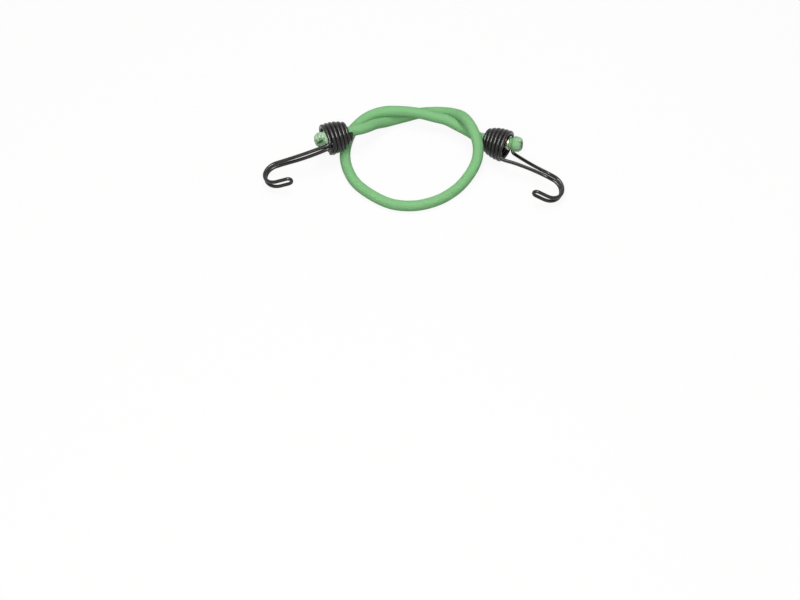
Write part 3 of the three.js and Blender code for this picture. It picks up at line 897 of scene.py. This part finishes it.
class BUNGEE_OT_stage(Operator):
    """Makes the pale floor, the soft light and the camera"""
    bl_idname = "bungee.stage"
    bl_label = "Stage"

    # The floor's width, how far it lies under the cord, and how much of it shines by itself.
    floor_size, floor_drop, glow_share = 30, 0.3 * MM, 0.9
    # The picture's width in points, the film's in millimetres, the cord's middle, and how many points
    # right of the picture's middle and above it that is seen.
    picture_width, film = 800, 36
    middle, right_of, above = (-1.2 * MM, 4.7 * MM), 12, 141.4

    def seen(self, tree):
        """1 for what the camera, a gloss or a clear surface sees, and 0 for what lights the object."""
        path = add_node(tree, "ShaderNodeLightPath")
        gloss = add_node(tree, "ShaderNodeMath", {
            0: path.outputs["Is Camera Ray"], 1: path.outputs["Is Glossy Ray"]}, operation="MAXIMUM")
        return add_node(tree, "ShaderNodeMath", {
            0: gloss.outputs[0], 1: path.outputs["Is Transmission Ray"]}, operation="MAXIMUM").outputs[0]

    def floor(self, settings):
        """A pale floor that mostly shines by itself, so that shadows stay faint, and throws little
        light back up at the object."""
        clear_selection()
        bpy.ops.mesh.primitive_plane_add(size=self.floor_size, location=(0, 0, -self.floor_drop))
        floor = bpy.context.object
        floor.name = "floor"
        material, tree, shader = new_material("pale_floor", Roughness=0.9)
        seen = self.seen(tree)
        colour = add_node(
            tree, "ShaderNodeMix", {0: seen, 6: (*settings.flag, 1), 7: (*settings.floor, 1)},
            data_type="RGBA")
        tree.links.new(colour.outputs[2], shader.inputs["Base Color"])
        glow = add_node(tree, "ShaderNodeEmission", {"Strength": 1.0})
        lit = add_node(tree, "ShaderNodeMath", {0: seen, 1: self.glow_share}, operation="MULTIPLY")
        mixed = add_node(
            tree, "ShaderNodeMixShader", {0: lit.outputs[0], 1: shader.outputs[0], 2: glow.outputs[0]})
        tree.links.new(mixed.outputs[0], tree.nodes["Material Output"].inputs["Surface"])
        floor.data.materials.append(material)

    def light(self, settings):
        """A weak even surround, a broad lamp by the camera, a long one overhead, and a long one between
        them that draws the streaks on the wire and leaves the cord as it is."""
        world = bpy.data.worlds.new("surround")
        bpy.context.scene.world = world
        world.use_nodes = True
        tree = world.node_tree
        strength = add_node(tree, "ShaderNodeMapRange", {0: self.seen(tree), 3: settings.fill, 4: 1.0})
        tree.links.new(strength.outputs[0], tree.nodes["Background"].inputs["Strength"])
        tree.nodes["Background"].inputs["Color"].default_value = (1, 1, 1, 1)
        for name, place, size, power in (
                ("lamp", (-0.15, -0.95, 1.05), (0.42, 0.42), settings.lamp),
                ("top_lamp", (0, 0.1, 1.25), (0.25, 0.9), settings.top),
                ("streak_lamp", (0, -0.55, 1.15), (0.35, 0.8), settings.streak)):
            clear_selection()
            bpy.ops.object.light_add(type="AREA", location=place)
            lamp = bpy.context.object
            lamp.name = name
            lamp.data.shape = "RECTANGLE"
            lamp.data.size, lamp.data.size_y = size
            lamp.data.energy = power
            lamp.visible_diffuse = name != "streak_lamp"
            lamp.rotation_euler = (-lamp.location).to_track_quat("-Z", "Y").to_euler()

    def camera(self, settings):
        """Looks down on the cord, which lies near the top of the picture."""
        distance = settings.pixel * self.picture_width * settings.lens / self.film
        lean = math.sin(settings.elevation)
        drop = self.above * settings.pixel / lean
        target = Vector((self.middle[0] - self.right_of * settings.pixel, self.middle[1] - drop, 0))
        back = Vector((0, -math.cos(settings.elevation), lean))
        clear_selection()
        bpy.ops.object.camera_add(location=target + back * (distance - drop * math.cos(settings.elevation)))
        camera = bpy.context.object
        camera.rotation_euler = (-back).to_track_quat("-Z", "Y").to_euler()
        camera.data.lens = settings.lens
        camera.data.sensor_width = self.film
        camera.data.clip_end = 100
        bpy.context.scene.camera = camera

    def execute(self, context):
        settings = context.scene.bungee.stage
        self.floor(settings)
        self.light(settings)
        self.camera(settings)
        context.scene.view_settings.view_transform = "Standard"
        return {"FINISHED"}


class BUNGEE_PT_panel(Panel):
    """Lists the pieces and their settings"""
    bl_label = "Bungee cord"
    bl_idname = "BUNGEE_PT_panel"
    bl_space_type = "VIEW_3D"
    bl_region_type = "UI"
    bl_category = "Bungee"

    def draw(self, context):
        for name, operator in (("sheath", "bungee.sheath"), ("core", "bungee.core"), ("clip", "bungee.clips"),
                               ("hook", "bungee.hooks"), ("stage", "bungee.stage")):
            box = self.layout.box()
            box.operator(operator)
            settings = getattr(context.scene.bungee, name)
            for prop in settings.__annotations__:
                box.prop(settings, prop)


CLASSES = (
    SheathSettings, CoreSettings, ClipSettings, HookSettings, StageSettings, BungeeSettings,
    BUNGEE_OT_stage, BUNGEE_OT_sheath, BUNGEE_OT_core, BUNGEE_OT_clips, BUNGEE_OT_hooks,
    BUNGEE_PT_panel,
)


def register():
    """Registers the classes and the scene's settings."""
    for each in CLASSES:
        bpy.utils.register_class(each)
    bpy.types.Scene.bungee = PointerProperty(type=BungeeSettings)


def unregister():
    """Removes the scene's settings and the classes."""
    del bpy.types.Scene.bungee
    for each in reversed(CLASSES):
        bpy.utils.unregister_class(each)


def main():
    """Makes the stage and the pieces."""
    register()
    bpy.ops.bungee.stage()
    bpy.ops.bungee.sheath()
    bpy.ops.bungee.core()
    bpy.ops.bungee.clips()
    bpy.ops.bungee.hooks()


if __name__ == "__main__":
    main()
